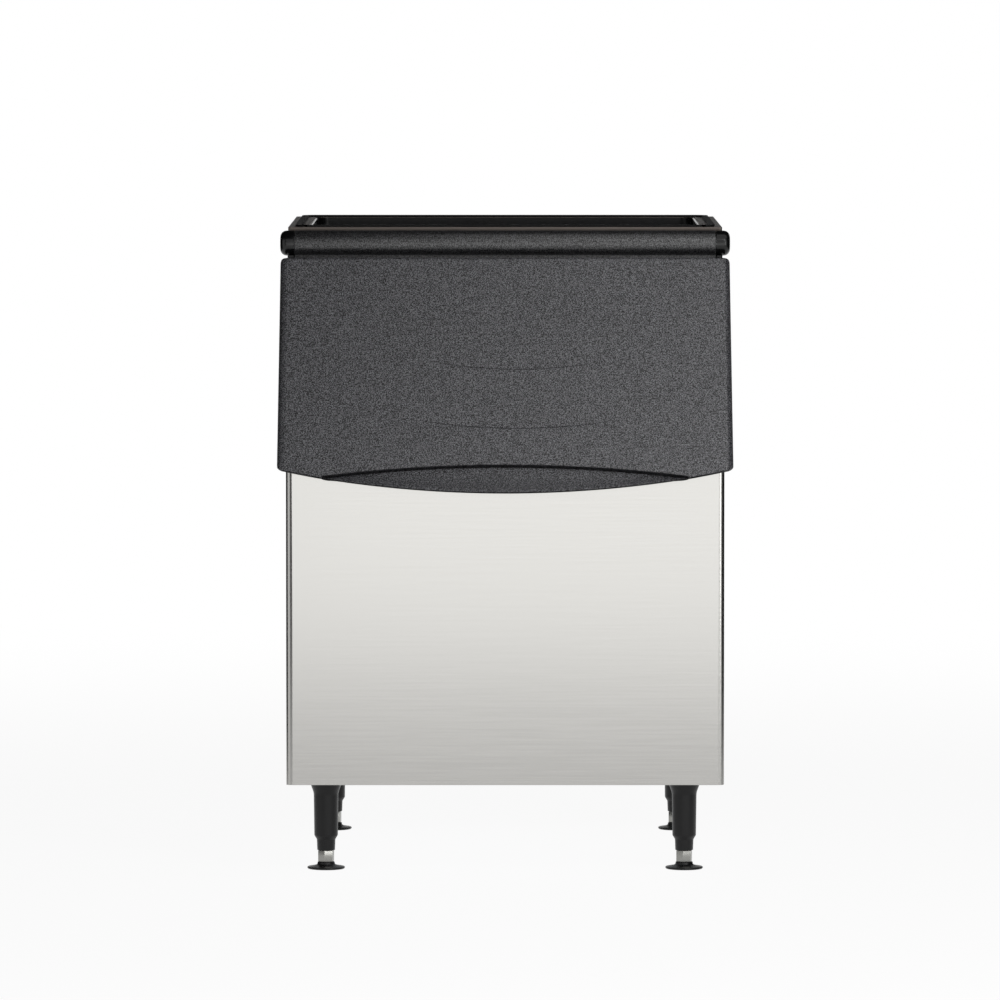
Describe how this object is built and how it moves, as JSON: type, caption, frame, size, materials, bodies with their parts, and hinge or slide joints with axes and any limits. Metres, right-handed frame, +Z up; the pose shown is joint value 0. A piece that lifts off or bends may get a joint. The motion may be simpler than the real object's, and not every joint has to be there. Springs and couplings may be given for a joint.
{
  "type": "ice storage bin",
  "caption": "Insulated stainless ice storage bin on levelling legs, with a lift-up slanted scoop door, an open top frame for an ice machine, a lift-off baffle and a floor drain.",
  "frame": {"origin": "on the floor, at the middle of the whole bin's width and depth", "axes": "+Z up, +X to the right of someone facing the door, +Y from the door to the back"},
  "size_m": [0.7908, 0.8486, 1.1207],
  "materials": {
    "brushed_stainless": "stainless sheet with a fine horizontal brushed grain",
    "satin_stainless": "satin stainless, duller than the cabinet",
    "galvanised_steel": "galvanised sheet, matt",
    "zinc_plated_steel": "zinc plated, satin",
    "textured_grey_plastic": "dark grey moulding with a fine leather-like grain",
    "black_plastic": "smooth black moulding",
    "black_nylon": "smooth black nylon, half matt",
    "white_polyethylene": "food-grade white moulding, half matt",
    "polyurethane_foam": "rigid foam, hidden in the walls",
    "black_rubber": "soft matt black"
  },
  "bodies": {
    "cabinet": {"outer_wrap": "brushed_stainless", "top_frame": "satin_stainless", "back_panel": "galvanised_steel", "base_pan": "galvanised_steel", "hinge_pin_left": "zinc_plated_steel", "hinge_pin_right": "zinc_plated_steel", "leg_nut_plate_front_left": "zinc_plated_steel", "leg_nut_plate_front_right": "zinc_plated_steel", "leg_nut_plate_back_left": "zinc_plated_steel", "leg_nut_plate_back_right": "zinc_plated_steel", "baffle_stud_left": "zinc_plated_steel", "baffle_stud_right": "zinc_plated_steel", "back_screw_left_lower": "zinc_plated_steel", "back_screw_left_middle": "zinc_plated_steel", "back_screw_left_upper": "zinc_plated_steel", "back_screw_right_lower": "zinc_plated_steel", "back_screw_right_middle": "zinc_plated_steel", "back_screw_right_upper": "zinc_plated_steel", "hinge_screw_left_inner": "zinc_plated_steel", "hinge_screw_left_outer": "zinc_plated_steel", "hinge_screw_right_inner": "zinc_plated_steel", "hinge_screw_right_outer": "zinc_plated_steel", "top_collar": "black_plastic", "throat_trim": "black_plastic", "drain_strainer": "black_plastic", "hinge_cap_left": "black_plastic", "hinge_cap_right": "black_plastic", "leg_front_left": "black_nylon", "leg_front_right": "black_nylon", "leg_back_left": "black_nylon", "leg_back_right": "black_nylon", "liner": "white_polyethylene", "drain_fitting": "white_polyethylene", "drain_nut": "white_polyethylene", "insulation": "polyurethane_foam", "machine_gasket": "black_rubber", "drain_washer": "black_rubber"},
    "door": {"hinge_barrel": "textured_grey_plastic", "hinge_bush_left": "white_polyethylene", "hinge_bush_right": "white_polyethylene", "door_outer_skin": "textured_grey_plastic", "door_inner_panel": "white_polyethylene", "door_insulation": "polyurethane_foam", "door_gasket": "black_rubber"},
    "ice_baffle": {"baffle": "brushed_stainless"},
    "foot_front_left": {"foot_pad_front_left": "black_nylon"},
    "stem_front_left": {"foot_stem_front_left": "zinc_plated_steel"},
    "foot_front_right": {"foot_pad_front_right": "black_nylon"},
    "stem_front_right": {"foot_stem_front_right": "zinc_plated_steel"},
    "foot_back_left": {"foot_pad_back_left": "black_nylon"},
    "stem_back_left": {"foot_stem_back_left": "zinc_plated_steel"},
    "foot_back_right": {"foot_pad_back_right": "black_nylon"},
    "stem_back_right": {"foot_stem_back_right": "zinc_plated_steel"}
  },
  "joints": [
    {"name": "door_hinge", "type": "hinge", "parent": "cabinet", "child": "door", "pos_m": [0, -0.18899, 1.09], "axis": [-1, 0, 0], "range_deg": [0, 153]},
    {"name": "baffle_lift", "type": "slide", "parent": "cabinet", "child": "ice_baffle", "axis": [0, 0, 1], "range_m": [0, 0.016]},
    {"name": "foot_slide_front_left", "type": "slide", "parent": "cabinet", "child": "foot_front_left", "axis": [0, 0, -1], "range_m": [0, 0.024]},
    {"name": "stem_turn_front_left", "type": "hinge", "parent": "foot_front_left", "child": "stem_front_left", "pos_m": [-0.313, -0.29199, 0], "axis": [0, 0, -1], "range_deg": [0, 4320]},
    {"name": "foot_slide_front_right", "type": "slide", "parent": "cabinet", "child": "foot_front_right", "axis": [0, 0, -1], "range_m": [0, 0.024]},
    {"name": "stem_turn_front_right", "type": "hinge", "parent": "foot_front_right", "child": "stem_front_right", "pos_m": [0.313, -0.29199, 0], "axis": [0, 0, -1], "range_deg": [0, 4320]},
    {"name": "foot_slide_back_left", "type": "slide", "parent": "cabinet", "child": "foot_back_left", "axis": [0, 0, -1], "range_m": [0, 0.024]},
    {"name": "stem_turn_back_left", "type": "hinge", "parent": "foot_back_left", "child": "stem_back_left", "pos_m": [-0.313, 0.36001, 0], "axis": [0, 0, -1], "range_deg": [0, 4320]},
    {"name": "foot_slide_back_right", "type": "slide", "parent": "cabinet", "child": "foot_back_right", "axis": [0, 0, -1], "range_m": [0, 0.024]},
    {"name": "stem_turn_back_right", "type": "hinge", "parent": "foot_back_right", "child": "stem_back_right", "pos_m": [0.313, 0.36001, 0], "axis": [0, 0, -1], "range_deg": [0, 4320]}
  ],
  "couplings": [
    {"joint": "stem_turn_front_left", "follows": "foot_slide_front_left", "rad_per_m": 3141.6},
    {"joint": "stem_turn_front_right", "follows": "foot_slide_front_right", "rad_per_m": 3141.6},
    {"joint": "stem_turn_back_left", "follows": "foot_slide_back_left", "rad_per_m": 3141.6},
    {"joint": "stem_turn_back_right", "follows": "foot_slide_back_right", "rad_per_m": 3141.6}
  ]
}
